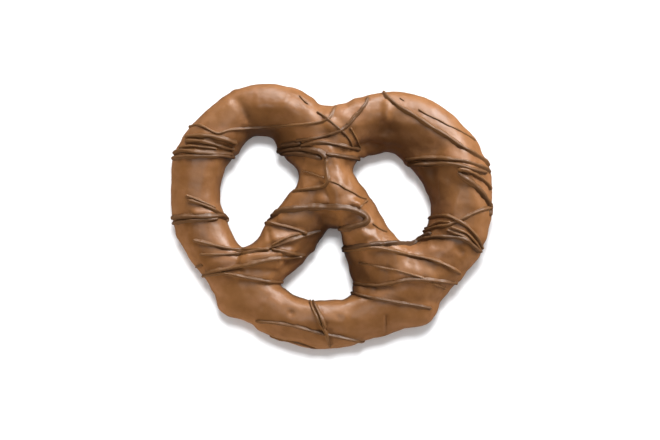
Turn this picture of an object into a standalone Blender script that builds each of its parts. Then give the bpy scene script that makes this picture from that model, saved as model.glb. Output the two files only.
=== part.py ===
"""A hard pretzel dipped in milk chocolate, with darker chocolate drizzled over it.

The pretzel lies flat on the plane z = 0, its twist towards +Y, and +X runs across it. Dough ropes are
swept along their routes and melted into one skin, the drizzled threads are laid on it and fused to it,
and the underside is pressed flat.
"""

import bmesh
import bpy
import math
from mathutils import Vector
from mathutils.bvhtree import BVHTree

MM = 0.001

# Ropes of coated dough. Each station is x, y, half width and crest height, in millimetres.
LEFT_ROPE = [
    (19.2, -17.2, 6.8, 12.5), (14.2, -14.0, 8.5, 13.4), (10.5, -9.4, 7.2, 14.0), (8.0, -3.0, 5.5, 14.6),
    (5.2, 2.8, 5.1, 15.0), (-0.5, 11.0, 5.1, 16.5), (-5.8, 19.0, 7.0, 15.5), (-10.2, 25.0, 6.9, 13.0),
    (-16.8, 26.8, 6.6, 12.6), (-23.0, 25.2, 6.1, 12.6), (-28.6, 20.0, 6.5, 12.6), (-32.5, 14.8, 6.8, 12.6),
    (-34.0, 7.5, 6.2, 12.6), (-33.2, 0.2, 6.5, 12.4), (-30.5, -6.5, 6.4, 12.4), (-25.5, -13.5, 5.9, 12.6),
    (-20.5, -19.2, 6.0, 12.8), (-13.0, -24.0, 6.0, 12.6), (-6.8, -26.0, 5.6, 12.4), (-0.8, -26.8, 5.9, 12.4),
]
RIGHT_ROPE = [
    (-21.8, -15.0, 7.0, 12.5), (-15.6, -11.2, 6.1, 13.5), (-11.0, -5.8, 6.6, 13.6), (-6.0, 1.2, 6.5, 14.0),
    (-0.8, 10.8, 5.3, 14.5), (2.8, 20.0, 6.9, 15.0), (9.5, 22.8, 7.5, 13.6), (18.0, 23.2, 7.8, 13.6),
    (25.2, 18.8, 8.5, 13.8), (31.0, 11.5, 8.5, 13.8), (32.5, 3.5, 7.8, 13.6), (31.8, -3.2, 7.5, 13.2),
    (27.6, -10.2, 7.4, 13.0), (21.0, -16.8, 7.2, 12.8), (14.0, -22.5, 6.5, 12.6), (6.5, -25.2, 5.9, 12.4),
    (-0.8, -26.8, 5.9, 12.4),
]

# Coating that has pooled between and beside the ropes, given in the same way.
NOTCH_POOL = [(-3.2, 23.5, 4.5, 13.5), (2.4, 23.3, 4.4, 13.5)]
CROSSING_POOL = [(-1.5, 1.2, 3.6, 13.0), (1.8, 1.2, 3.6, 13.0)]
LEFT_CORNER_POOL = [(-21.0, -20.8, 4.8, 9.5), (-23.0, -19.8, 6.0, 10.0)]
RIGHT_CORNER_POOL = [(17.2, -22.4, 5.2, 11.0), (20.9, -22.0, 6.0, 11.0)]
INNER_CORNER_POOL = [(9.2, -18.2, 3.8, 12.0), (10.8, -20.8, 3.8, 12.0)]
FOOT_POOL = [(-15.8, -25.2, 4.0, 7.5), (-10.2, -27.2, 4.1, 8.0), (-4.8, -28.8, 4.1, 8.0),
             (-0.2, -29.0, 4.1, 8.0), (5.2, -27.8, 4.0, 8.0), (9.8, -26.2, 4.0, 8.0)]

ROPE_SINK = 1.0            # how far a rope's round section would reach below the resting plane
ROPE_STEP = 1.5            # distance between the rings of a rope
ROPE_SIDES = 28
ROPE_SQUARENESS = 2.4      # 2 is an ellipse, more is boxier
DOME_ANGLES = (25, 50, 70, 85)

SKIN_VOXEL = 0.8
SKIN_SMOOTHING = 8
LUMP_SIZE = 7.0
LUMP_HEIGHT = 0.5
DETAIL_VOXEL = 0.4         # fine enough to hold a thread's ridge
TRIANGLES = 11400
PRESSING = 0.05            # points this close to the resting plane lie on it

# Drizzled threads: width, then the x, y points that each passes on its way over the ropes.
THREADS = [
    (0.8, [(-36.5, 22.0), (-32.8, 23.0), (-28.2, 21.0), (-22.2, 22.2), (-7.8, 23.2), (-2.2, 23.8),
           (1.2, 26.0), (1.2, 28.0)]),
    (0.9, [(-38.2, 19.2), (-34.8, 20.8), (-30.2, 20.8), (-23.8, 18.5)]),
    (0.9, [(-37.8, 18.2), (-34.0, 19.2), (-29.8, 18.8), (-24.2, 17.2)]),
    (0.9, [(-39.8, 15.5), (-35.2, 16.8), (-29.8, 16.0), (-24.0, 16.0)]),
    (0.9, [(-40.0, 14.2), (-35.2, 15.2), (-29.0, 15.8), (-23.2, 14.8)]),
    (0.8, [(-37.0, 6.0), (-33.2, 4.5), (-28.8, 2.2)]),
    (1.0, [(-36.5, 4.5), (-31.5, 2.5), (-27.2, 1.0), (-25.2, -0.2), (-26.2, -1.2)]),
    (1.0, [(-40.2, -0.2), (-34.0, 0.0), (-27.8, 0.5), (-25.5, -1.0)]),
    (0.8, [(-40.2, -2.0), (-37.8, -1.0), (-31.5, -0.2), (-27.8, 0.0)]),
    (1.0, [(-35.2, -5.8), (-29.0, -7.0), (-22.8, -8.0), (-15.2, -7.8), (-9.0, -5.5), (-1.8, -3.2)]),
    (0.8, [(-33.2, -9.2), (-25.2, -9.2), (-14.8, -8.0)]),
    (0.9, [(-14.8, -8.0), (-10.2, -8.8), (-5.8, -9.5)]),
    (1.1, [(-32.0, -14.2), (-24.0, -12.5), (-15.2, -10.5), (-6.2, -9.5)]),
    (0.8, [(-32.2, -15.0), (-26.5, -14.0), (-19.0, -15.2), (-11.8, -16.0)]),
    (1.2, [(-16.8, -2.0), (-12.8, 1.5), (-6.5, 2.5), (4.2, 2.5), (8.8, 0.8), (8.8, -1.5),
           (4.8, -2.5), (1.8, -3.0)]),
    (0.8, [(-16.8, -2.0), (-11.5, -1.8), (-6.0, -3.5)]),
    (1.1, [(-1.2, 15.0), (-0.8, 9.2), (-3.8, 7.5), (-10.0, 6.5)]),
    (0.8, [(-4.8, 28.0), (-0.8, 24.8), (3.5, 21.5), (5.8, 17.2)]),
    (0.9, [(9.2, 30.2), (7.2, 26.5), (3.5, 22.5), (-1.5, 20.2), (-9.2, 19.0)]),
    (1.0, [(-8.2, 17.8), (-2.2, 18.8), (7.8, 16.8)]),
    (1.0, [(-13.8, 16.5), (-7.8, 17.5), (-2.2, 16.8), (-1.2, 15.0)]),
    (0.9, [(-14.2, 16.8), (-10.2, 15.5), (-2.2, 14.8)]),
    (0.8, [(-1.8, 16.0), (3.5, 15.5), (7.8, 14.8)]),
    (1.3, [(13.2, 31.2), (17.2, 27.8), (24.8, 23.5), (32.8, 18.0), (37.8, 15.5), (39.8, 12.5)]),
    (0.8, [(21.5, 27.0), (28.5, 24.0), (34.8, 20.5), (36.8, 19.0)]),
    (1.0, [(17.5, 14.0), (23.5, 14.5), (30.2, 14.0), (39.2, 11.8)]),
    (0.9, [(18.0, 13.0), (27.2, 13.2), (33.5, 12.2), (39.2, 10.8)]),
    (0.9, [(31.5, 11.8), (36.0, 10.8), (39.2, 8.2), (40.2, 5.8)]),
    (1.3, [(31.5, 11.8), (35.5, 8.5), (39.2, 4.2), (40.0, 0.0)]),
    (0.9, [(40.2, 2.5), (34.8, 0.8), (29.2, -2.0), (23.8, -3.5)]),
    (1.0, [(25.0, 0.0), (29.2, 0.5), (33.5, -1.5), (36.8, -5.2), (38.0, -8.5)]),
    (0.8, [(29.5, -2.2), (33.8, -4.0), (37.8, -9.2)]),
    (1.0, [(21.8, -6.0), (27.2, -4.5), (33.8, -5.2), (37.5, -9.2)]),
    (1.1, [(2.5, -8.2), (8.5, -7.0), (17.2, -6.2), (19.8, -6.5), (25.2, -3.8)]),
    (1.1, [(4.5, -8.0), (12.2, -7.8), (21.0, -10.0), (33.0, -14.8)]),
    (0.8, [(6.5, -11.5), (14.8, -13.0), (23.5, -15.5), (29.2, -18.2)]),
    (0.9, [(10.5, -17.0), (18.5, -15.8), (24.8, -15.5), (31.8, -16.2)]),
    (1.0, [(5.0, -18.8), (12.2, -20.2), (25.2, -22.8)]),
    (0.9, [(-19.5, -26.0), (-12.8, -26.2), (-5.2, -28.0), (3.5, -30.2), (9.0, -31.2)]),
    (0.9, [(-5.5, -20.8), (-2.5, -26.2), (-0.8, -29.0), (-0.2, -32.8)]),
    (0.8, [(-16.2, -29.8), (-9.0, -31.2), (-0.2, -33.2)]),
]
THREAD_STEP = 2.6          # distance between the rings of a thread
THREAD_SIDES = 5
THREAD_WALL_HEIGHT = 5.5   # a thread that runs over an edge ends this high on the wall
THREAD_TIP = 0.55          # share of the width left at a thread's ends
SKY = 40.0                 # height from which threads are dropped onto the skin

CHOCOLATE = (0.296, 0.136, 0.060, 1.0)
CHOCOLATE_ROUGHNESS = 0.38


def clear_scene():
    for leftover in list(bpy.data.objects):
        bpy.data.objects.remove(leftover)


def smooth_route(stations, step):
    """Even steps along a Catmull-Rom curve through the stations."""
    points = [Vector(station) for station in stations]
    first = 2 * points[0] - points[1]
    last = 2 * points[-1] - points[-2]
    padded = [first] + points + [last]
    route = [points[0]]
    for before, start, end, after in zip(padded, padded[1:], padded[2:], padded[3:]):
        pieces = max(1, round((end - start).length / step))
        for piece in range(1, pieces + 1):
            t = piece / pieces
            route.append(0.5 * (2 * start + (end - before) * t
                                + (2 * before - 5 * start + 4 * end - after) * t ** 2
                                + (3 * start - before - 3 * end + after) * t ** 3))
    return route


def tube(name, rings):
    """A closed tube through rings that all have the same number of points."""
    sides = len(rings[0])
    points = [point * MM for ring in rings for point in ring]
    faces = [tuple(reversed(range(sides)))]
    for start in range(0, sides * (len(rings) - 1), sides):
        for side in range(sides):
            following = (side + 1) % sides
            faces.append((start + side, start + following,
                          start + sides + following, start + sides + side))
    faces.append(tuple(range(len(points) - sides, len(points))))
    mesh = bpy.data.meshes.new(name)
    mesh.from_pydata(points, [], faces)
    made = bpy.data.objects.new(name, mesh)
    bpy.context.collection.objects.link(made)
    return made


def superellipse(angle, power):
    """A point on the unit superellipse of this power."""
    across = math.cos(angle)
    up = math.sin(angle)
    return (math.copysign(abs(across) ** (2 / power), across), math.copysign(abs(up) ** (2 / power), up))


def upright_ring(centre, across, half_width, half_height):
    ring = []
    for side in range(ROPE_SIDES):
        sideways, upwards = superellipse(2 * math.pi * side / ROPE_SIDES, ROPE_SQUARENESS)
        ring.append(centre + across * sideways * half_width + Vector((0, 0, upwards * half_height)))
    return ring


def rope(name, stations):
    """A rope of dough with domed ends, its section upright and square to the route in plan."""
    route = smooth_route(stations, ROPE_STEP)
    rings = []
    for index, (x, y, half_width, crest) in enumerate(route):
        ahead = route[min(index + 1, len(route) - 1)]
        behind = route[max(index - 1, 0)]
        along = Vector((ahead[0] - behind[0], ahead[1] - behind[1], 0.0)).normalized()
        across = Vector((along.y, -along.x, 0.0))
        half_height = (crest + ROPE_SINK) / 2
        centre = Vector((x, y, crest - half_height))
        at_start = index == 0
        at_end = index == len(route) - 1
        dome = [upright_ring(centre + along * half_width * math.sin(angle) * (-1 if at_start else 1),
                             across, half_width * math.cos(angle), half_height * math.cos(angle))
                for angle in map(math.radians, DOME_ANGLES)]
        if at_start:
            rings.extend(reversed(dome))
        rings.append(upright_ring(centre, across, half_width, half_height))
        if at_end:
            rings.extend(dome)
    return tube(name, rings)


def apply_modifiers(target):
    """Keep the target's shape as its modifiers leave it, and drop them."""
    evaluated = target.evaluated_get(bpy.context.evaluated_depsgraph_get())
    mesh = bpy.data.meshes.new_from_object(evaluated)
    target.modifiers.clear()
    target.data = mesh


def remove(objects):
    for unwanted in list(objects):
        bpy.data.objects.remove(unwanted)


def union_with(target, others):
    """Fuse the other objects to the target with one Boolean union."""
    group = bpy.data.collections.new("fused")
    bpy.context.scene.collection.children.link(group)
    for other in others:
        group.objects.link(other)
    boolean = target.modifiers.new("fuse", "BOOLEAN")
    boolean.operation = "UNION"
    boolean.operand_type = "COLLECTION"
    boolean.collection = group
    boolean.solver = "MANIFOLD"
    apply_modifiers(target)
    remove(others)
    bpy.data.collections.remove(group)


def remesh(target, voxel):
    evening = target.modifiers.new("one skin", "REMESH")
    evening.mode = "VOXEL"
    evening.voxel_size = voxel * MM


def melt(target):
    """Round off where ropes meet and give the coating its slow lumps."""
    remesh(target, SKIN_VOXEL)
    smooth = target.modifiers.new("melted corners", "SMOOTH")
    smooth.iterations = SKIN_SMOOTHING
    clouds = bpy.data.textures.new("lumps", "CLOUDS")
    clouds.noise_scale = LUMP_SIZE * MM
    lumps = target.modifiers.new("lumps", "DISPLACE")
    lumps.texture = clouds
    lumps.strength = LUMP_HEIGHT * MM
    apply_modifiers(target)


def keep_largest_shell(mesh):
    """Drop loose scraps, and the walls of hollows that got sealed in."""
    shape = bmesh.new()
    shape.from_mesh(mesh)
    unseen = set(shape.verts)
    shells = []
    while unseen:
        waiting = [unseen.pop()]
        shell = []
        while waiting:
            vertex = waiting.pop()
            shell.append(vertex)
            reached = {edge.other_vert(vertex) for edge in vertex.link_edges} & unseen
            unseen -= reached
            waiting.extend(reached)
        shells.append(shell)
    shells.sort(key=len)
    for scrap in shells[:-1]:
        bmesh.ops.delete(shape, geom=scrap, context="VERTS")
    shape.to_mesh(mesh)
    shape.free()


def press_flat(mesh, reach):
    """Raise whatever is lower than the resting plane plus the reach exactly onto the plane."""
    for vertex in mesh.vertices:
        if vertex.co.z < reach * MM:
            vertex.co.z = 0.0


def thin_out(target, triangles):
    target.data.calc_loop_triangles()
    thin = target.modifiers.new("fewer faces", "DECIMATE")
    thin.ratio = triangles / len(target.data.loop_triangles)
    apply_modifiers(target)


def skin_below(tree, x, y):
    """The skin's point and normal under a plan point, or beside it on the nearest wall."""
    place, normal, _, _ = tree.ray_cast(Vector((x, y, SKY)) * MM, Vector((0, 0, -1)))
    if place is None or place.z < THREAD_WALL_HEIGHT * MM:
        place, normal, _, _ = tree.find_nearest(Vector((x, y, THREAD_WALL_HEIGHT)) * MM)
    return place / MM, normal


def even_steps(route, step):
    """Pick the route's points that lie about one step apart."""
    picked = [route[0]]
    for point in route[1:-1]:
        if (point[0] - picked[-1][0]).length >= step:
            picked.append(point)
    if (route[-1][0] - picked[-1][0]).length < step / 2 and len(picked) > 1:
        picked.pop()
    picked.append(route[-1])
    return picked


def thread(name, width, points, tree):
    """A thread of chocolate lying on the skin, half of it sunk in, with tapered ends."""
    fine_step = THREAD_STEP / 8
    plan = smooth_route([(x, y, 0.0) for x, y in points], fine_step)
    route = even_steps([skin_below(tree, x, y) for x, y, _ in plan], THREAD_STEP)
    rings = []
    for index, (place, normal) in enumerate(route):
        ahead = route[min(index + 1, len(route) - 1)][0]
        behind = route[max(index - 1, 0)][0]
        across = (ahead - behind).cross(normal).normalized()
        at_end = index in (0, len(route) - 1)
        radius = width / 2 * (THREAD_TIP if at_end else 1.0)
        ring = []
        for side in range(THREAD_SIDES):
            angle = 2 * math.pi * side / THREAD_SIDES
            ring.append(place + (across * math.cos(angle) + normal * math.sin(angle)) * radius)
        rings.append(ring)
    return tube(name, rings)


def chocolate():
    material = bpy.data.materials.new("milk chocolate")
    material.use_nodes = True
    surface = material.node_tree.nodes["Principled BSDF"]
    surface.inputs["Base Color"].default_value = CHOCOLATE
    surface.inputs["Roughness"].default_value = CHOCOLATE_ROUGHNESS
    surface.inputs["Metallic"].default_value = 0.0
    return material


def build_pretzel():
    ropes = [rope("left rope", LEFT_ROPE), rope("right rope", RIGHT_ROPE),
             rope("notch pool", NOTCH_POOL), rope("crossing pool", CROSSING_POOL),
             rope("left corner pool", LEFT_CORNER_POOL),
             rope("right corner pool", RIGHT_CORNER_POOL), rope("inner corner pool", INNER_CORNER_POOL),
             rope("foot pool", FOOT_POOL)]
    pretzel = ropes[0]
    pretzel.name = "pretzel"
    union_with(pretzel, ropes[1:])
    melt(pretzel)

    tree = BVHTree.FromObject(pretzel, bpy.context.evaluated_depsgraph_get())
    threads = [thread("thread {}".format(number), width, points, tree)
               for number, (width, points) in enumerate(THREADS, 1)]
    union_with(pretzel, threads)
    remesh(pretzel, DETAIL_VOXEL)
    apply_modifiers(pretzel)
    keep_largest_shell(pretzel.data)

    press_flat(pretzel.data, 0.0)
    thin_out(pretzel, TRIANGLES)
    press_flat(pretzel.data, PRESSING)

    pretzel.data.materials.clear()
    pretzel.data.materials.append(chocolate())
    pretzel.data.shade_smooth()
    pretzel.data.set_sharp_from_angle(angle=math.radians(60))


clear_scene()
build_pretzel()
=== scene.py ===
import math

import bpy
import numpy as np
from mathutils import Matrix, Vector
from mathutils.bvhtree import BVHTree


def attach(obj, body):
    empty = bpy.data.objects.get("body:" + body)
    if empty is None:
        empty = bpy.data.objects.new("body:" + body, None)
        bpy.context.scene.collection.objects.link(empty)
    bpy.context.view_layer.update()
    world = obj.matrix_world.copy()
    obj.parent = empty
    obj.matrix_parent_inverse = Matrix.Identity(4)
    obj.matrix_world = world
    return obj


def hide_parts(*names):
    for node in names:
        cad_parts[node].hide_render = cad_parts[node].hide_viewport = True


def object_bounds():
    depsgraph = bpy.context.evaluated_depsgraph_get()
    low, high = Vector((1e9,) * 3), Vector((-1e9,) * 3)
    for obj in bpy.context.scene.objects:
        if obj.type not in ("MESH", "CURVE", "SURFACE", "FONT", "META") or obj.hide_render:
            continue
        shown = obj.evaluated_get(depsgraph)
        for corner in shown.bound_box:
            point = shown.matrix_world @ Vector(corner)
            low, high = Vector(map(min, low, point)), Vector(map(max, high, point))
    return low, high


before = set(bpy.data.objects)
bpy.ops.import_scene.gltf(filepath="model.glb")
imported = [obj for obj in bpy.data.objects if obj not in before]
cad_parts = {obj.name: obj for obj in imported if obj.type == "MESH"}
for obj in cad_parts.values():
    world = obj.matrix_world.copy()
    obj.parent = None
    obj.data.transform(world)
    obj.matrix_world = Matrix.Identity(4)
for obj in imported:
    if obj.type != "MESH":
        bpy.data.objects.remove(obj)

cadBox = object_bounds()
mm = 0.001
tiny = 1e-9    # keeps a division by a length of nothing finite
root = "root"

# Points in plan are read off a sheet ruled in quarter millimetres, its y downwards. It lies at
# mid height, under an eye that looks straight down on it, so what is higher is seen further out.
sheet = {"x": 331, "y": 217, "unit": 0.25, "height": 6.0}
camera = {"lens": 100, "sensor": 36, "frameWidth": 165, "aim": (-0.25, -0.75)}
eye = np.array([*camera["aim"], sheet["height"] + camera["frameWidth"] * camera["lens"] / camera["sensor"]])


def plan(points):
    # sheet coordinates to mm about the origin
    points = np.array(points, float)
    return np.c_[points[:, 0] - sheet["x"], sheet["y"] - points[:, 1]] * sheet["unit"]


def seen(points):
    # where the line from the eye through each point crosses the sheet
    share = (eye[2] - sheet["height"]) / (eye[2] - points[:, 2:])
    return eye[:2] + (points[:, :2] - eye[:2]) * share


def smoothRoute(stations, step):
    # Catmull-Rom: each span is the cubic through its two stations, its slopes set by the neighbours
    points = np.array(stations, float)
    padded = np.vstack([2 * points[0] - points[1], points, 2 * points[-1] - points[-2]])
    before, start, end, after = padded[:-3], padded[1:-2], padded[2:-1], padded[3:]
    count = np.maximum(1, np.round(np.linalg.norm(end - start, axis=1) / step)).astype(int)
    span = np.repeat(np.arange(len(count)), count)
    t = np.concatenate([np.arange(pieces) / pieces for pieces in count])[:, None]
    before, start, end, after = before[span], start[span], end[span], after[span]
    route = 0.5 * (2 * start + (end - before) * t
                   + (2 * before - 5 * start + 4 * end - after) * t ** 2
                   + (3 * start - before - 3 * end + after) * t ** 3)
    return np.vstack([route, points[-1:]])


def unit(vectors):
    # each row over its own length
    return vectors / np.maximum(np.linalg.norm(vectors, axis=1, keepdims=True), tiny)


def tubeFaces(rings, sides, first):
    # quads between neighbouring rings, wound so that they face out, and one polygon over each end
    ring, side = np.meshgrid(np.arange(rings - 1), np.arange(sides), indexing="ij")
    corner = first + ring * sides
    following = (side + 1) % sides
    quads = np.stack([corner + side, corner + following,
                      corner + sides + following, corner + sides + side], -1).reshape(-1, 4)
    caps = [list(range(first + sides - 1, first - 1, -1)),
            list(range(first + (rings - 1) * sides, first + rings * sides))]
    return quads.tolist() + caps


def meshPiece(name, points, faces):
    # points in mm become a piece in metres, its object left at the origin
    mesh = bpy.data.meshes.new(name)
    mesh.from_pydata((np.asarray(points) * mm).tolist(), [], faces)
    mesh.update()
    piece = bpy.data.objects.new(name, mesh)
    bpy.context.collection.objects.link(piece)
    return piece


def positions(mesh):
    # the mesh's points in mm
    flat = np.empty(len(mesh.vertices) * 3, np.float32)
    mesh.vertices.foreach_get("co", flat)
    return flat.reshape(-1, 3).astype(float) / mm


def setPositions(mesh, points):
    mesh.vertices.foreach_set("co", (points * mm).astype(np.float32).ravel())
    mesh.update()


def boxed(points):
    # keeps points inside the box of the solid: once a point is within a soft margin of a wall, the gap
    # left to the wall is the margin times e to the minus of how many margins deep the point would be.
    # At the ground the margin starts outside the box, so that the underside stays flat
    low, high = np.array(cadBox[0]) / mm, np.array(cadBox[1]) / mm
    soft = 0.4
    points = np.where(points > high - soft, high - soft * np.exp(-(points - high + soft) / soft), points)
    low[2] -= soft
    return np.where(points < low + soft, low + soft * np.exp(-(low + soft - points) / soft), points)


def settle(piece):
    # keep the shape that the modifiers leave
    evaluated = piece.evaluated_get(bpy.context.evaluated_depsgraph_get())
    mesh = bpy.data.meshes.new_from_object(evaluated)
    piece.modifiers.clear()
    piece.data = mesh


def setSeries(mesh, name, values):
    # one number for each point, for a material to read
    layer = mesh.attributes.new(name, "FLOAT", "POINT")
    layer.data.foreach_set("value", np.asarray(values, np.float32))


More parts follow.
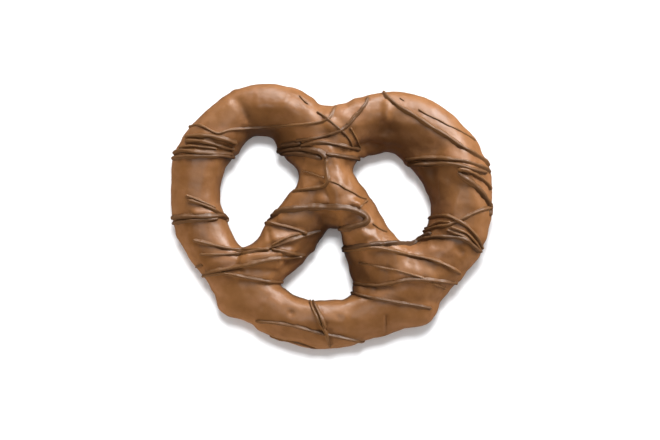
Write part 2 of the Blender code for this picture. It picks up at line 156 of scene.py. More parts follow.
# the dough ropes under their milk chocolate
coat = {
    # x, y, half width and crest height of each station in mm, and how far its crest leans to the
    # right of the route as a share of the half width
    "leftRope": [
        (19.2, -17.2, 6.8, 12.5, 0), (14.2, -14.0, 8.5, 13.4, 0.35), (10.5, -9.4, 7.2, 14.0, 0.3),
        (8.0, -3.0, 5.5, 14.6, -0.25), (5.2, 2.8, 5.1, 15.0, -0.25), (-0.5, 11.0, 5.1, 16.2, 0.1),
        (-5.8, 19.0, 7.0, 14.8, 0.35), (-10.2, 25.0, 6.9, 13.0, 0.3), (-16.8, 26.8, 6.6, 12.6, 0.2),
        (-23.0, 25.2, 6.1, 12.6, 0.15), (-28.6, 20.0, 6.5, 12.6, 0.2), (-32.5, 14.8, 6.8, 12.6, 0.1),
        (-34.0, 7.5, 6.2, 12.6, 0), (-33.2, 0.2, 6.5, 12.4, 0), (-30.5, -6.5, 6.4, 12.4, 0),
        (-25.5, -13.5, 5.9, 12.6, -0.2), (-20.5, -19.2, 6.0, 12.8, -0.25), (-13.0, -24.0, 6.0, 12.6, -0.3),
        (-6.8, -26.0, 5.6, 12.4, -0.35), (-0.8, -26.8, 5.9, 12.4, -0.35),
    ],
    "rightRope": [
        (-21.8, -15.0, 7.0, 12.5, -0.1), (-15.6, -11.2, 6.1, 13.5, -0.25), (-11.0, -5.8, 6.6, 13.6, -0.35),
        (-6.0, 1.2, 6.5, 14.0, -0.3), (-0.8, 10.8, 5.3, 14.5, 0), (2.8, 20.0, 6.9, 14.8, -0.3),
        (9.5, 22.8, 7.5, 13.6, -0.35), (18.0, 23.2, 7.8, 13.4, -0.3), (25.2, 18.8, 8.5, 13.4, -0.15),
        (31.0, 11.5, 8.5, 13.4, 0.1), (32.5, 3.5, 7.8, 13.4, 0), (31.8, -3.2, 7.5, 13.2, -0.1),
        (27.6, -10.2, 7.4, 13.0, 0), (21.0, -16.8, 7.2, 12.8, 0.15), (14.0, -22.5, 6.5, 12.6, 0.3),
        (6.5, -25.2, 5.9, 12.4, 0.3), (-0.8, -26.8, 5.9, 12.4, 0.35),
    ],
    # coating pooled between and beside the ropes
    "pools": [
        [(-3.2, 23.5, 4.5, 13.5, 0), (2.4, 23.3, 4.4, 13.5, 0)],
        [(-1.5, 1.2, 3.6, 13.0, 0), (1.8, 1.2, 3.6, 13.0, 0)],
        [(0.6, 8.6, 4.2, 15.0, 0), (1.6, 4.4, 4.4, 14.6, 0)],
        [(-2.0, 6.4, 4.0, 14.7, 0), (-2.6, 3.4, 4.0, 14.3, 0)],
        [(20.0, -10.7, 4.2, 12.6, 0), (20.4, -14.2, 4.2, 13.1, 0)],
        [(-19.5, -20.4, 5.6, 11.8, 0), (-22.6, -19.8, 6.0, 11.4, 0)],
        [(17.2, -21.6, 5.8, 12.2, 0), (20.7, -21.6, 6.0, 11.8, 0)],
        [(9.2, -18.2, 3.8, 12.0, 0), (10.8, -20.8, 3.8, 12.0, 0)],
        [(-15.8, -25.2, 4.0, 8.5, 0), (-10.2, -27.2, 4.1, 9.0, 0), (-4.8, -28.8, 4.1, 9.0, 0),
         (-0.2, -29.0, 4.1, 8.6, 0), (5.2, -27.8, 4.0, 7.6, 0), (9.8, -26.2, 4.0, 7.0, 0)],
    ],
    "sink": 1.0,                               # how far a rope's section reaches below the ground, mm
    "squareness": 2.25,                        # power of the section: 2 is an ellipse, more is boxier
    "sides": 48, "step": 0.8,                  # points round a section, and mm between sections
    "domeAngles": (15, 30, 45, 60, 75, 86),    # degrees of the sections that close an end
    "voxel": 0.45, "smoothing": 14,            # mm, and passes
    "lumpSize": 7.0, "lumpHeight": 0.5,        # mm
    "grainSize": 2.0, "grainHeight": 0.20,     # mm
    "crestRounding": 0.1,                      # of an edge's half width
    # swells and dents along short lines: x, y of both ends and half width on the sheet, height in mm
    "swells": [
        # crests of the lobes and arms
        (260, 107, 286, 107, 8.0, 0.80), (286, 107, 306, 114, 8.0, 0.60), (366, 112, 400, 110, 8.0, 0.50),
        (400, 110, 432, 126, 8.0, 0.25), (430, 131, 460, 152, 9.0, 0.35), (466, 148, 474, 200, 9.0, 0.50),
        (400, 278, 404, 288, 8.0, 0.40), (284, 315, 360, 318, 9.0, 0.30),
        # left lobe
        (233, 94, 249, 121, 6.0, -0.60), (260, 99, 286, 100, 7.0, 0.30), (266, 118, 266, 118, 4.0, -0.25),
        (246, 124, 246, 124, 3.0, 0.45), (299, 97, 309, 106, 1.5, -0.22), (305, 94, 311, 101, 1.5, -0.15),
        (284, 150, 300, 150, 9.0, -1.20), (296, 160, 312, 168, 9.0, -0.60),
        (252, 136, 300, 143, 10.0, -1.10), (288, 137, 322, 136, 8.0, -0.70),
        (228, 148, 238, 153, 6.0, -0.80), (206, 138, 228, 137, 7.0, 0.60),
        (290, 160, 350, 168, 12.0, -1.20),
        # left arm
        (207, 165, 209, 205, 7.0, 0.25), (196, 151, 212, 151.5, 3.0, 0.40),
        (196, 213, 214, 213, 4.0, 0.90),
        # lower left
        (276, 240, 284, 239, 4.5, 0.80), (289, 238, 300, 234, 3.5, 0.60),
        (289, 269, 297, 263, 6.0, -0.90), (268, 231, 269, 238, 2.5, -0.50),
        (278, 266, 281, 264, 3.5, 0.40), (268, 270, 277, 271, 3.0, -0.35),
        (246, 262.5, 277, 259.5, 6.5, 0.80), (281, 251.5, 293, 253, 4.0, 0.70),
        (240, 274.5, 268, 278, 5.0, 0.85), (246, 255, 247, 268, 6.0, 0.50),
        (250, 255.5, 278, 254, 3.5, 0.60), (250, 297, 280, 298, 8.0, -0.50),
        (290, 250, 298, 250, 3.5, 0.25), (262, 298, 272, 301, 7.0, 0.30),
        (262, 308, 262, 308, 4.0, -0.30), (291, 313, 291, 313, 3.5, -0.50),
        (214, 262, 262, 258, 4.5, 0.25),
        # neck
        (300, 160, 300, 190, 1.8, -0.35), (335, 180, 336, 190, 4.0, -0.25),
        (348, 168, 350, 182, 5.0, -0.50), (324, 204, 341, 205, 9.0, 0.80),
        (332, 190, 337, 192, 4.0, 0.60), (330, 184, 336, 187, 4.0, 0.50), (326, 199, 334, 202, 5.0, 0.60),
        (318, 182, 319, 186, 4.0, 0.25), (334, 197, 337, 206, 6.0, 0.25), (354, 203, 357, 204, 4.0, 1.30),
        (361.5, 208, 370, 223, 5.0, 0.90), (367, 199, 369, 201, 2.5, 0.35),
        (362, 205, 362, 205, 2.5, -0.30), (331, 222, 350, 221, 8.0, -0.90),
        (345, 228, 347, 246, 6.0, -0.60), (276, 227, 298, 230, 6.0, -0.60),
        (313, 219, 317, 227, 5.0, 0.35), (316, 236, 292, 266, 8.0, -1.10),
        # right lobe
        (387, 104, 387, 118, 4.0, 0.70), (364, 149, 387, 129, 9.0, -1.30),
        (366, 112, 382, 116, 8.0, 0.20), (450, 158, 463, 170, 9.0, 1.00), (360, 121, 418, 123, 7.0, 0.45),
        (398, 150, 438, 152, 12.0, -0.80), (470, 140, 478, 148, 7.0, -0.45),
        (326, 124, 338, 127, 6.0, 0.70), (326, 117, 329, 124, 4.0, 0.35), (346, 118, 354, 124, 6.0, 0.50),
        (372, 148, 400, 152, 6.0, -0.60), (362, 153, 376, 152, 7.0, -1.30),
        (345, 151, 378, 150, 5.0, -0.70),
        # right arm
        (430, 172, 433, 215, 6.0, -0.90), (434, 170, 437, 212, 9.0, -0.70),
        (449, 182, 446, 208, 6.0, -0.25), (468, 180, 474, 205, 7.0, 0.35),
        (462, 168, 486, 173, 5.0, 0.50), (436, 224, 462, 228, 6.0, 0.50),
        # lower right
        (363, 233, 368, 236, 4.5, 0.70), (370, 245, 378, 245, 4.0, 0.80), (376, 238, 378, 239, 3.0, 0.35),
        (371, 241, 373, 243, 2.5, -0.40), (372, 214, 375, 232, 3.5, 0.40),
        (408, 270, 428, 275, 8.0, 0.75), (410, 276.5, 416, 277.5, 4.0, 0.40),
        (422, 257, 436, 261, 6.0, 0.50), (354, 250, 362, 284, 10.0, -1.10),
        (388, 256, 388, 280, 5.0, -0.40), (459, 250, 461, 252, 3.5, -0.35),
        (446, 245, 450, 248, 5.0, 0.30), (448, 230, 466, 236, 4.0, 0.30), (430, 250, 444, 252, 5.0, 0.40),
        (326, 318, 342, 320, 7.0, 0.60), (294, 322, 314, 326, 5.0, 0.35),
        (332, 334, 362, 336, 5.0, -0.40), (338, 317, 341, 318, 2.5, -0.30),
        (386, 316, 387, 331, 1.5, -0.50), (410, 328, 424, 324, 6.0, 0.30),
    ],
    # the same for edges where two flat stretches of coat meet
    "facetEdges": [
        (395, 250, 399, 274, 14.0, 0.75), (464, 179, 453, 213, 8.0, 0.50), (439, 180, 439, 212, 4.0, 0.20),
        (216, 158, 218, 205, 3.5, 0.28),
    ],
    # bumps and hollows of the outline: x, y and half width on the sheet, height in mm
    "rim": [
        # outside, clockwise from the left lobe
        (234, 91, 4, 0.30), (285, 85, 10, -0.30), (314, 99, 6, 0.35), (346, 101, 7, -0.60),
        (362, 97, 6, -0.25), (464, 126, 8, -0.35), (484, 153, 8, -0.45), (492, 177, 6, 0.20),
        (493, 207, 5, -0.25), (488, 228, 8, -0.50), (484, 245, 5, -0.25), (478, 257, 5, 0.30),
        (466, 272, 6, -0.25), (452, 287, 7, -0.40), (438, 308, 9, 0.45), (428, 323, 7, 0.30),
        (405, 328, 8, 0.20), (385, 336, 8, 0.20), (352, 344, 10, 0.40), (325, 349, 8, 0.25),
        (252, 325, 5, -0.30), (236, 318, 6, -0.35), (219, 308, 6, 0.40), (212, 292, 10, 0.70),
        (195, 265, 8, -0.20), (186, 252, 8, -0.20), (177, 236, 5, 0.30), (170, 180, 9, -0.20),
        (179, 141, 7, -0.40), (185, 130, 5, -0.20),
        # left loop
        (237, 152, 4, 0.45), (226, 168, 6, -0.25), (220, 203, 7, -0.40), (229, 219, 3, 0.35),
        (236, 240, 6, -0.25), (258, 235, 8, -0.30), (270, 216, 6, -0.50), (294, 187, 5, -0.50),
        (301, 175, 5, 0.70), (287, 160, 6, 0.25), (278, 150, 4, 0.45),
        # right loop
        (363, 157, 3, 0.60), (386, 152, 7, -0.40), (406, 164, 3, 0.35), (426, 191, 5, 0.35),
        (431, 205, 4, -0.20), (428, 220, 4, 0.35), (420, 237, 5, -0.30), (409, 243, 4, 0.25),
        (393, 235, 7, 0.50), (383, 220, 5, 0.20), (370, 195, 6, -0.25), (360, 182, 6, -0.20),
        # bottom gap
        (334, 228, 6, 0.50), (342, 240, 4, 0.20), (347, 262, 8, -0.40), (353, 287, 5, 0.25),
        (342, 297, 6, -0.50), (310, 299, 6, -0.30), (295, 293, 8, -0.40), (287, 277, 6, -0.30),
        (302, 262, 5, 0.20), (314, 250, 4, 0.45),
    ],
}


def ropeRings(stations):
    # a superellipse, square to the route in plan, carried along it and domed at both ends. Its sides
    # go as the cosine and its height as the sine, each to the power of two over the squareness, and
    # its upper half is shifted sideways by the lean times the square of its height
    route = smoothRoute(stations, coat["step"])
    centre = np.c_[route[:, :2], np.zeros(len(route))]
    along = unit(np.gradient(centre, axis=0))
    across = np.c_[along[:, 1], -along[:, 0], along[:, 2]]
    halfHeight = (route[:, 3] + coat["sink"]) / 2
    centre[:, 2] = route[:, 3] - halfHeight
    halfWidth, lean = route[:, 2], route[:, 4]
    dome = np.radians(coat["domeAngles"])
    domeSin, domeCos = np.sin(dome)[:, None], np.cos(dome)
    centre = np.vstack([(centre[0] - along[0] * halfWidth[0] * domeSin)[::-1], centre,
                        centre[-1] + along[-1] * halfWidth[-1] * domeSin])
    across = np.vstack([np.repeat(across[:1], len(dome), 0), across, np.repeat(across[-1:], len(dome), 0)])
    width = np.r_[(halfWidth[0] * domeCos)[::-1], halfWidth, halfWidth[-1] * domeCos]
    lean = np.r_[np.full(len(dome), lean[0]), lean, np.full(len(dome), lean[-1])]
    height = np.r_[(halfHeight[0] * domeCos)[::-1], halfHeight, halfHeight[-1] * domeCos]
    angle = np.linspace(0, 2 * np.pi, coat["sides"], endpoint=False)
    power = 2 / coat["squareness"]
    sideways = np.sign(np.cos(angle)) * np.abs(np.cos(angle)) ** power
    upwards = np.sign(np.sin(angle)) * np.abs(np.sin(angle)) ** power
    sideways = sideways[None, :] + lean[:, None] * np.maximum(upwards, 0)[None, :] ** 2
    up = np.array([0.0, 0.0, 1.0])
    return (centre[:, None] + across[:, None] * (sideways * width[:, None])[..., None]
            + up * (upwards[None, :] * height[:, None])[..., None])


def vertexNormals(mesh):
    flat = np.empty(len(mesh.vertices) * 3, np.float32)
    mesh.vertex_normals.foreach_get("vector", flat)
    return flat.reshape(-1, 3).astype(float)


def reliefHeights(lines, places, profile):
    # each line's height times its profile at the distance from it, in half widths
    total = np.zeros(len(places))
    for x0, y0, x1, y1, halfWidth, height in lines:
        start, end = plan([(x0, y0), (x1, y1)])
        line = end - start
        share = np.clip(((places - start) @ line) / max(line @ line, tiny), 0, 1)
        distance = np.linalg.norm(places - start - share[:, None] * line, axis=1)
        total += height * profile(distance / (halfWidth * sheet["unit"]))
    return total


def bell(distance):
    # e to the minus square of the distance
    return np.exp(-distance ** 2)


def tent(distance):
    # e to the minus distance, its crest rounded by a hyperbola: steep flanks that fade at the foot
    rounding = coat["crestRounding"]
    return np.exp(rounding - np.sqrt(distance ** 2 + rounding ** 2))


def coatPiece():
    # the ropes and pools as closed tubes, fused to one skin and smoothed, then moved along its normals
    # by two noises, the swells, the edges and the bumps of the outline
    points, faces = [], []
    for stations in [coat["leftRope"], coat["rightRope"]] + coat["pools"]:
        rings = ropeRings(stations)
        faces += tubeFaces(len(rings), coat["sides"], sum(map(len, points)))
        points.append(rings.reshape(-1, 3))
    piece = meshPiece("milk_chocolate_coat", np.vstack(points), faces)
    remesh = piece.modifiers.new("one skin", "REMESH")
    remesh.mode = "VOXEL"
    remesh.voxel_size = coat["voxel"] * mm
    smooth = piece.modifiers.new("melted corners", "SMOOTH")
    smooth.iterations = coat["smoothing"]
    clouds = bpy.data.textures.new("lumps", "CLOUDS")
    clouds.noise_scale = coat["lumpSize"] * mm
    lumps = piece.modifiers.new("lumps", "DISPLACE")
    lumps.texture = clouds
    lumps.strength = coat["lumpHeight"] * mm
    settle(piece)
    grain = bpy.data.textures.new("grain", "CLOUDS")
    grain.noise_scale = coat["grainSize"] * mm
    fine = piece.modifiers.new("grain", "DISPLACE")
    fine.texture = grain
    fine.strength = coat["grainHeight"] * mm
    points, normals = positions(piece.data), vertexNormals(piece.data)
    # swells fade where the coat turns to a wall, so that they leave the outline as it is
    rims = [(x, y, x, y, halfWidth, height) for x, y, halfWidth, height in coat["rim"]]
    places = seen(points)
    heights = reliefHeights(coat["swells"], places, bell) + reliefHeights(coat["facetEdges"], places, tent)
    heights *= np.clip(normals[:, 2], 0, 1)
    points += normals * (heights + reliefHeights(rims, places, bell))[:, None]
    setPositions(piece.data, points)
    settle(piece)
    points = boxed(positions(piece.data))
    points[:, 2] = np.maximum(points[:, 2], 0)
    setPositions(piece.data, points)
    piece.data.shade_smooth()
    return piece


# threads of darker chocolate over the coat
drizzle = {
    # width in mm, how dark it is from 0 to 1, and the sheet points that the thread passes. How dark is
    # partly the thread's own darker chocolate and partly painted shade, set higher where a thread lies in
    # shade in the twist's hollows and on slopes turned from the light
    "threads": [
        # left lobe and the top of the left arm
        (0.7, 0.3, [(188, 127.5), (197, 125), (204, 127), (210, 130.3), (218, 133.5), (228, 130.5),
            (240, 129), (270, 127), (300, 124.5), (318, 122.5), (328, 119), (333, 112), (336, 106)]),
        (0.45, 0.3, [(299, 95), (304, 101), (309, 104.5)]),
        (1.05, 0.45, [(185, 137.7), (190, 136.5), (200, 135.8), (210, 136), (220, 138), (230, 140.8),
            (237, 144)]),
        (0.95, 0.45, [(185, 141.6), (190, 141), (200, 141), (210, 142.8), (220, 146), (230, 148.5),
            (235, 150)]),
        (0.8, 0.3, [(179, 148), (190, 146), (200, 147), (210, 147.8), (217, 149)]),
        (1.05, 0.5, [(173, 153.5), (182, 150.5), (195, 152), (210, 153), (222, 153.5), (233, 154.5)]),
        (1.0, 0.6, [(172, 158.5), (180, 157), (195, 156), (210, 155.4), (222, 155.5), (232, 157),
            (237, 159)]),
        # left arm
        (0.75, 0.3, [(185, 195), (198, 200), (208, 204.5), (216, 208.8)]),
        (0.82, 0.4, [(187, 199.5), (200, 203.5), (212, 209.2), (221, 213.5), (227, 217), (229, 219.5),
            (226, 221)]),
        (1.1, 0.7, [(171, 218), (180, 216.8), (195, 216.5), (210, 216), (220, 215.8), (225, 218),
            (229, 220.5)]),
        (0.82, 0.7, [(171, 224), (178, 222), (190, 220.5), (205, 219.5), (218, 218.5)]),
        # lower left
        (0.9, 0.4, [(192, 240), (205, 243), (215, 245.5), (225, 248), (235, 249.5), (246, 250),
            (258, 249.7), (268, 248.5), (275, 246), (285, 242), (295, 239), (305, 235.5), (316, 232),
            (322, 230)]),
        (0.45, 0.3, [(271, 246), (280, 240.5), (290, 236.5), (300, 233.5)]),
        (0.68, 0.4, [(199, 254.5), (215, 254.5), (230, 254.3), (245, 253), (258, 251), (270, 249.5)]),
        (0.82, 0.4, [(271, 249.5), (285, 251.8), (295, 254), (306, 256)]),
        (1.0, 0.4, [(205, 273), (215, 270.8), (230, 268.5), (245, 265.5), (260, 261.8), (275, 259),
            (290, 257.2), (303, 256.3)]),
        (0.75, 0.4, [(203, 276), (212, 274), (225, 273.5), (235, 275.3), (250, 278.2), (265, 280.7),
            (275, 282), (283, 282)]),
        (0.68, 0.4, [(196, 267), (203, 265)]),
        # below the crossing
        (1.35, 0.75, [(266, 223), (272, 217.5), (280, 210.7), (290, 209), (305, 207.5), (320, 207),
            (335, 207.2), (348, 208.2), (357, 210.8), (364, 214.7), (367, 218.7), (365, 222.7),
            (358, 225), (350, 227.5), (340, 229)]),
        (0.82, 0.4, [(265, 223.5), (272, 223.3), (282, 225.7), (292, 228), (302, 231.5), (307, 234)]),
        (0.9, 0.4, [(326, 158), (326.5, 170), (328, 180), (325, 185.5), (316, 187.8), (303, 189.7),
            (292, 192)]),
        (0.45, 0.3, [(302, 171), (310, 173), (318, 176), (325, 178)]),
        (0.52, 0.3, [(330, 181), (338, 184), (346, 189), (354, 193), (360, 197), (367, 199)]),
        (0.45, 0.3, [(368, 200), (363, 204), (359, 208)]),
        # twist
        (0.6, 0.7, [(316, 111.5), (322, 115), (329, 120.5), (335, 125), (340, 129.3), (345, 134),
            (349, 139), (351, 143), (352, 148)]),
        (0.75, 0.7, [(368, 97), (366, 103), (360, 111), (352, 121), (345, 127.3), (338, 131.3),
            (328, 135.2), (318, 137.8), (308, 139.3), (295, 141)]),
        (0.45, 0.3, [(358, 112), (354, 116), (350, 121), (346, 125)]),
        (0.52, 0.3, [(350, 127), (354, 134), (357, 140), (361, 149.5)]),
        (0.9, 0.7, [(300, 146), (312, 143.3), (322, 142.7), (335, 144.3), (350, 147.2), (361, 150)]),
        (1.15, 0.85, [(277, 151), (290, 149.5), (300, 148.7), (312, 149.7), (319, 151.7), (324, 155),
            (326.5, 159)]),
        (0.9, 0.8, [(325, 154), (335, 155.2), (350, 157.7), (361, 159.5)]),
        (1.05, 0.85, [(279, 151.3), (285, 153.5), (300, 153.5), (315, 156.5), (323, 159)]),
        (1.0, 0.85, [(280, 146), (290, 144.5), (302, 143)]),
        # right lobe
        (1.05, 0.4, [(383.5, 92.5), (390, 99.5), (400, 107), (410, 112.8), (420, 119), (430, 125.9),
            (440, 131.6), (450, 138), (460, 145.4), (470, 151), (480, 157.3), (485, 161), (489, 166)]),
        (0.45, 0.3, [(418, 109), (424, 113), (430, 116), (440, 120.7), (447, 124.8), (455, 128.3),
            (463, 132.7), (470, 136.7), (476, 141)]),
        (0.4, 0.3, [(399, 97.5), (405, 101.5)]),
        (1.0, 0.5, [(404.5, 160.1), (415, 158.8), (430, 157.9), (440, 158.1), (452, 159.4), (465, 161.4),
            (478, 165.5), (487, 169.2), (490, 173)]),
        (1.0, 0.55, [(407, 164.6), (420, 164.2), (435, 163.6), (447, 163.2), (456, 164.5), (470, 168.6),
            (480, 171.3), (487, 172.8)]),
        # right arm
        (1.0, 0.3, [(457, 170.5), (463, 169.2), (470, 171.8), (476, 175), (483, 179.6), (488, 184.5),
            (491, 190)]),
        (1.4, 0.6, [(457.5, 171.5), (462, 175.5), (470, 181.6), (477, 187.6), (483, 194.4), (488, 202),
            (490.5, 209), (490, 217)]),
        (0.9, 0.4, [(491, 207.5), (483, 209.3), (475, 212.7), (468, 216), (461, 219.5), (455, 222.3),
            (447, 225.3), (437, 226.8), (428, 230), (423, 232)]),
        (0.9, 0.4, [(426, 219.5), (430, 218), (440, 216), (448, 216), (455, 219), (463, 223.5),
            (470, 229.3), (476, 236), (480, 242.5), (482, 249)]),
        (0.65, 0.3, [(450, 226.7), (458, 229.5), (466, 233), (473, 239.5), (478, 246.5), (481, 252)]),
        (0.6, 0.25, [(446, 229.5), (455, 233), (463, 236), (469, 239.5)]),
        (1.0, 0.7, [(415, 242.5), (420, 240.3), (431, 237.5), (440, 236.8), (450, 236.8), (460, 237.5),
            (467, 240), (473, 245.5), (480, 252)]),
        (0.68, 0.3, [(425, 229), (432, 226), (440, 222), (452, 223)]),
        # lower right
        (1.15, 1.0, [(342, 248.5), (352, 247), (365, 245.7), (378, 244.2), (388, 243.3), (396, 243),
            (402, 243.6), (408, 244.2), (414, 243), (420, 239.5), (427, 235), (432, 233)]),
        (0.85, 0.3, [(342, 251), (350, 249.8), (365, 247.5), (375, 246.9), (385, 248.8), (395, 251.3),
            (410, 255.2), (425, 258.2), (435, 260.8), (445, 264.8), (455, 270), (461, 274)]),
        (0.52, 0.3, [(358, 263), (370, 265), (385, 268.2), (398, 270.8), (410, 274.2), (422, 277.7),
            (432, 283), (438, 286), (446, 289)]),
        (0.9, 0.5, [(354, 283.5), (365, 285.3), (375, 285.5), (385, 284.7), (393, 283), (401, 281),
            (411, 279.5), (425, 279.5), (438, 281), (450, 282.5), (457, 283)]),
        (0.82, 0.7, [(352, 293), (365, 296.5), (380, 299.3), (395, 302), (410, 304.5), (425, 307.2),
            (432, 308.7)]),
        (0.45, 0.3, [(372, 223), (380, 229), (388, 232)]),
        # bottom
        (0.82, 0.4, [(255, 321), (265, 322), (280, 323.7), (295, 326.4), (310, 330.7), (322, 333.7),
            (338, 337), (350, 339.7), (362, 341.5), (366, 341.5)]),
        (0.75, 0.25, [(310, 300.5), (312, 307.5), (315.5, 314.5), (319, 321.5), (323, 328), (326, 333),
            (328, 340), (330, 347)]),
        (0.75, 0.4, [(313, 301), (316.5, 308), (320, 315), (323, 321.5), (325, 328)]),
        (0.6, 0.3, [(268, 337), (280, 339.5), (295, 342), (305, 345), (318, 349), (328, 350)]),
    ],
    "step": 0.35,          # mm between sections
    # the thread's section, in widths: a rounded ridge with skirts that run into the coat
    "section": [(-0.70, -0.06), (-0.56, 0.03), (-0.45, 0.20), (-0.35, 0.42), (-0.20, 0.58), (0.0, 0.64),
                (0.20, 0.58), (0.35, 0.42), (0.45, 0.20), (0.56, 0.03), (0.70, -0.06), (0.35, -0.30),
                (-0.35, -0.30)],
    "stack": 0.42,         # how much of its width a thread lifts the ones that cross it
    "wallHeight": 5.5,     # mm up the wall where a thread that runs over an edge ends
    "bridging": 1.2,       # mm over which a thread spans a dip in the coat
    "unevenness": 0.16,    # share by which the width swells and thins
    "waveLength": 5.0,     # mm from swell to swell
    "waveShares": (1.0, 0.45),    # length and height of each wave, as shares of the longest
    "taperLength": 1.2,    # widths over which an end narrows, as a quarter circle does
    "tipArea": 0.03,       # square of the share of the width that is left at the very end
    "seed": 7,
}


def skinBelow(tree, track):
    # the coat's point and normal where the eye sees each point, or beside it on the nearest wall
    places, normals = [], []
    for x, y in track:
        sight = Vector((x, y, sheet["height"])) - Vector(eye)
        place, normal, _, _ = tree.ray_cast(Vector(eye) * mm, sight)
        if place is None or place.z < drizzle["wallHeight"] * mm:
            place, normal, _, _ = tree.find_nearest(Vector((x, y, drizzle["wallHeight"])) * mm)
        places.append(place / mm)
        normals.append(normal)
    return np.array(places), np.array(normals)


def blurAlong(values, reach):
    # moving average weighted by a bell curve, cut at three times its reach, with its ends held
    tail = 3 * reach
    weights = np.exp(-0.5 * (np.arange(-tail, tail + 1) / reach) ** 2)
    weights /= weights.sum()
    padded = np.concatenate([np.repeat(values[:1], tail, 0), values, np.repeat(values[-1:], tail, 0)])
    return np.stack([np.convolve(column, weights, "valid") for column in padded.T], -1)


def evenSteps(places, others, step):
    # the same polyline and its other series, read again at four or more even distances along it
    distance = np.r_[0, np.cumsum(np.linalg.norm(np.diff(places, axis=0), axis=1))]
    count = max(4, int(distance[-1] / step) + 1)
    even = np.linspace(0, distance[-1], count)
    again = [np.stack([np.interp(even, distance, column) for column in series.T], -1)
             for series in (places, others)]
    return again[0], again[1], even


def unevenWidth(along, random):
    # one plus a sum of sines along the thread, each with a random phase
    waves = 0
    for share in drizzle["waveShares"]:
        phase = random.uniform(0, 2 * np.pi)
        waves = waves + np.sin(2 * np.pi * along / (drizzle["waveLength"] * share) + phase) * share
    return 1 + drizzle["unevenness"] * waves / sum(drizzle["waveShares"])


def drizzlePiece(tree):
    # each thread is its section carried along the line where the eye sees its points on the coat. It
    # spans dips, and rises over the threads laid before it by a bell curve of the distance to them
    random = np.random.default_rng(drizzle["seed"])
    section = np.array(drizzle["section"])
    points, faces, dark = [], [], []
    laid = np.zeros((0, 4))
    for width, darknessAndShade, stations in drizzle["threads"]:
        track = smoothRoute(plan(stations), drizzle["step"] / 2)
        places, normals = skinBelow(tree, track)
        places, normals, along = evenSteps(places, normals, drizzle["step"])
        reach = max(1, int(drizzle["bridging"] / drizzle["step"]))
        places[:, 2] = np.maximum(places[:, 2], blurAlong(places, reach)[:, 2])
        places = blurAlong(places, 1)
        normals = unit(blurAlong(normals, reach))
        if len(laid):
            gap = np.linalg.norm(places[:, None, :2] - laid[None, :, :2], axis=2)
            lift = np.exp(-(gap / laid[None, :, 3]) ** 2) * laid[None, :, 3] * drizzle["stack"]
            places = places + normals * (lift.max(1) * np.clip(normals[:, 2], 0, 1))[:, None]
        laid = np.vstack([laid, np.c_[places, np.full(len(places), width)]])
        across = unit(np.cross(np.gradient(places, axis=0), normals))
        end = np.minimum(along, along[-1] - along) / (width * drizzle["taperLength"])
        taper = np.sqrt(np.clip(1 - (1 - np.clip(end, 0, 1)) ** 2, drizzle["tipArea"], 1))
        size = width * unevenWidth(along, random) * taper
        ring = across[:, None] * section[None, ::-1, :1] + normals[:, None] * section[None, ::-1, 1:]
        rings = places[:, None] + ring * size[:, None, None]
        faces += tubeFaces(len(rings), len(section), sum(map(len, points)))
        points.append(boxed(rings.reshape(-1, 3)))
        dark.append(np.full(len(points[-1]), darknessAndShade))
    piece = meshPiece("dark_chocolate_drizzle", np.vstack(points), faces)
    # each point keeps how dark its thread is: partly darker chocolate, partly painted shade
    setSeries(piece.data, "darknessAndShade", np.concatenate(dark))
    piece.data.shade_smooth()
    return piece


def newMaterial(name):
    # a material, its nodes and links, and its shader
    material = bpy.data.materials.new(name)
    material.use_nodes = True
    nodes = material.node_tree.nodes
    return material, nodes, material.node_tree.links, nodes["Principled BSDF"]


def noise(nodes, links, where, scale, detail, roughness=0.5):
    # smooth random values from 0 to 1 that stay fixed to the piece
    made = nodes.new("ShaderNodeTexNoise")
    made.inputs["Scale"].default_value = scale
    made.inputs["Detail"].default_value = detail
    made.inputs["Roughness"].default_value = roughness
    links.new(where, made.inputs["Vector"])
    return made.outputs["Fac"]


def mapped(nodes, links, value, fromLow, fromHigh, toLow, toHigh):
    # one range of values stretched over another
    made = nodes.new("ShaderNodeMapRange")
    limits = {"From Min": fromLow, "From Max": fromHigh, "To Min": toLow, "To Max": toHigh}
    for socket, number in limits.items():
        made.inputs[socket].default_value = number
    links.new(value, made.inputs["Value"])
    return made.outputs["Result"]


def mixed(nodes, links, factor, first, second):
    # the node has sockets for numbers and vectors too, so its colour ones are picked by place
    firstSocket, secondSocket, result = 6, 7, 2
    made = nodes.new("ShaderNodeMix")
    made.data_type = "RGBA"
    links.new(factor, made.inputs["Factor"])
    for socket, colour in ((firstSocket, first), (secondSocket, second)):
        if isinstance(colour, tuple):
            made.inputs[socket].default_value = colour
        else:
            links.new(colour, made.inputs[socket])
    return made.outputs[result]


def bumped(nodes, links, height, distance, strength, after=None):
    # normals tilted by a height, on top of an earlier tilt if one is given
    made = nodes.new("ShaderNodeBump")
    made.inputs["Strength"].default_value = strength
    made.inputs["Distance"].default_value = distance
    links.new(height, made.inputs["Height"])
    if after is not None:
        links.new(after, made.inputs["Normal"])
    return made.outputs["Normal"]


milkChocolate = {
    "deep": (0.154, 0.062, 0.0180, 1), "light": (0.222, 0.096, 0.032, 1), "rosy": (0.243, 0.107, 0.045, 1),
    # scale, detail and roughness of each noise, and the stretch of it that is used
    "patches": (110, 5, 0.62), "patchStretch": (0.32, 0.68),
    "blush": (170, 4, 0.6), "blushStretch": (0.50, 0.66), "rosyShare": 0.5,
    "sheen": (220, 3), "sheenStretch": (0.3, 0.7), "roughness": (0.36, 0.50),
    # each bump's noise, then its height in metres and its strength
    "ripple": (330, 3), "rippleBump": (0.0006, 0.25),
    "grain": (900, 2), "grainBump": (0.0001, 0.15),
    "refraction": 1.46,
}


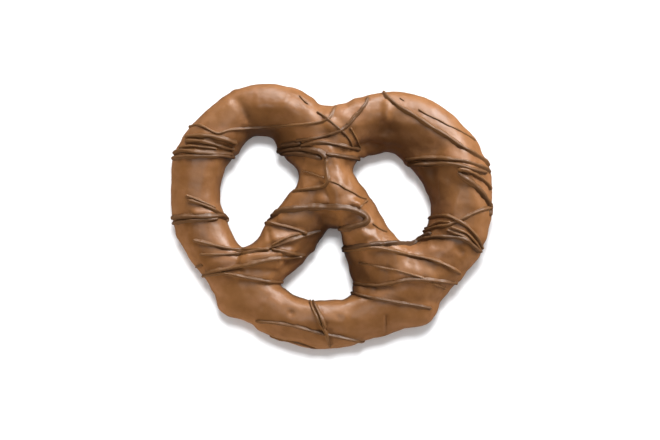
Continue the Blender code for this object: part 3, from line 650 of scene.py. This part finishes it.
def milkChocolateMaterial():
    material, nodes, links, shader = newMaterial("milk chocolate")
    where = nodes.new("ShaderNodeTexCoord").outputs["Object"]
    patches = noise(nodes, links, where, *milkChocolate["patches"])
    tone = mapped(nodes, links, patches, *milkChocolate["patchStretch"], 0.0, 1.0)
    brown = mixed(nodes, links, tone, milkChocolate["deep"], milkChocolate["light"])
    blush = noise(nodes, links, where, *milkChocolate["blush"])
    blush = mapped(nodes, links, blush, *milkChocolate["blushStretch"], 0.0, milkChocolate["rosyShare"])
    links.new(mixed(nodes, links, blush, brown, milkChocolate["rosy"]), shader.inputs["Base Color"])
    sheen = noise(nodes, links, where, *milkChocolate["sheen"])
    sheen = mapped(nodes, links, sheen, *milkChocolate["sheenStretch"], *milkChocolate["roughness"])
    links.new(sheen, shader.inputs["Roughness"])
    ripple = noise(nodes, links, where, *milkChocolate["ripple"])
    grain = noise(nodes, links, where, *milkChocolate["grain"])
    ripple = bumped(nodes, links, ripple, *milkChocolate["rippleBump"])
    links.new(bumped(nodes, links, grain, *milkChocolate["grainBump"], ripple), shader.inputs["Normal"])
    shader.inputs["IOR"].default_value = milkChocolate["refraction"]
    return material


darkChocolate = {
    # milk and dark are the two ends of how dark a thread is; the dark end also serves as painted shade on
    # threads that lie in shade
    "dark": (0.075, 0.036, 0.016, 1), "milk": (0.150, 0.066, 0.021, 1),
    "roughness": 0.42, "refraction": 1.42,
    "grain": (700, 2), "grainBump": (0.0002, 0.25),
}


def darkChocolateMaterial():
    material, nodes, links, shader = newMaterial("dark chocolate")
    where = nodes.new("ShaderNodeTexCoord").outputs["Object"]
    # blends milk to dark by the stored series: partly the thread's own darker chocolate, partly painted
    # shade
    darknessAndShade = nodes.new("ShaderNodeAttribute")
    darknessAndShade.attribute_name = "darknessAndShade"
    links.new(mixed(nodes, links, darknessAndShade.outputs["Fac"], darkChocolate["milk"], darkChocolate["dark"]),
              shader.inputs["Base Color"])
    grain = noise(nodes, links, where, *darkChocolate["grain"])
    links.new(bumped(nodes, links, grain, *darkChocolate["grainBump"]), shader.inputs["Normal"])
    shader.inputs["Roughness"].default_value = darkChocolate["roughness"]
    shader.inputs["IOR"].default_value = darkChocolate["refraction"]
    return material


# a white board, soft boxes and a camera above
studio = {
    "floor": 1.2, "floorColour": (0.93, 0.93, 0.93, 1), "floorRoughness": 0.9,    # size in metres
    "ambient": 0.035,
    "distance": 0.70,    # metres from the origin to each box
    # azimuth and elevation in degrees, size in metres and watts of each soft box
    "keys": [(45, 17, 0.3, 2.6), (90, 17, 0.3, 3.3), (45, 30, 0.3, 5.8), (90, 30, 0.3, 1.8),
             (0, 90, 0.3, 1.1)],
    "fills": [(0, 5, 0.3, 3.3), (135, 5, 0.3, 2.7), (180, 5, 0.12, 1.3), (225, 5, 0.12, 4.0),
              (270, 5, 0.12, 2.0), (315, 5, 0.3, 0.8)],
    "onFloor": [(88, 69, 0.16, 5.2), (0, 90, 1.4, 6.2)], "floorTint": (0.95, 0.975, 1.0),
}


def studioFloor():
    bpy.ops.mesh.primitive_plane_add(size=studio["floor"], location=(0, 0, 0))
    floor = bpy.context.object
    floor.name = "floor"
    material, _, _, shader = newMaterial("white board")
    shader.inputs["Base Color"].default_value = studio["floorColour"]
    shader.inputs["Roughness"].default_value = studio["floorRoughness"]
    shader.inputs["Specular IOR Level"].default_value = 0.0
    floor.data.materials.append(material)
    floor.visible_glossy = False
    return floor


def softBoxes(group, lit):
    # square area lights that face the origin and light one group of pieces only; the fills give no gloss
    receivers = bpy.data.collections.new("lit " + group)
    for piece in lit:
        receivers.objects.link(piece)
    for azimuth, elevation, size, power in studio[group]:
        flat, up = math.radians(azimuth), math.radians(elevation)
        light = bpy.data.lights.new(group, "AREA")
        light.size = size
        light.energy = power
        if group == "onFloor":
            light.color = studio["floorTint"]
        lamp = bpy.data.objects.new(group, light)
        lamp.location = Vector((math.cos(up) * math.cos(flat), math.cos(up) * math.sin(flat),
                                math.sin(up))) * studio["distance"]
        lamp.rotation_euler = (-lamp.location).to_track_quat("-Z", "Y").to_euler()
        bpy.context.collection.objects.link(lamp)
        lamp.light_linking.receiver_collection = receivers
        lamp.visible_glossy = group == "keys"


def studioLights(floor, food):
    world = bpy.data.worlds.new("soft room")
    bpy.context.scene.world = world
    world.use_nodes = True
    world.node_tree.nodes["Background"].inputs["Color"].default_value = (1, 1, 1, 1)
    world.node_tree.nodes["Background"].inputs["Strength"].default_value = studio["ambient"]
    softBoxes("keys", food)
    softBoxes("fills", food)
    softBoxes("onFloor", [floor])


def studioCamera():
    # it looks straight down, so it needs no turn
    lens = bpy.data.cameras.new("camera")
    lens.lens = camera["lens"]
    lens.sensor_width = camera["sensor"]
    holder = bpy.data.objects.new("camera", lens)
    holder.location = eye * mm
    bpy.context.collection.objects.link(holder)
    bpy.context.scene.camera = holder
    bpy.context.scene.view_settings.view_transform = "Standard"


coatBody = coatPiece()
coatBody.data.materials.append(milkChocolateMaterial())
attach(coatBody, root)
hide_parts("pretzel")
print("coat ready:", len(coatBody.data.polygons), "faces")

skinTree = BVHTree.FromObject(coatBody, bpy.context.evaluated_depsgraph_get())
threads = drizzlePiece(skinTree)
threads.data.materials.append(darkChocolateMaterial())
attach(threads, root)
print("drizzle ready:", len(threads.data.polygons), "faces")

studioCamera()
studioLights(studioFloor(), [coatBody, threads])
print("studio ready")
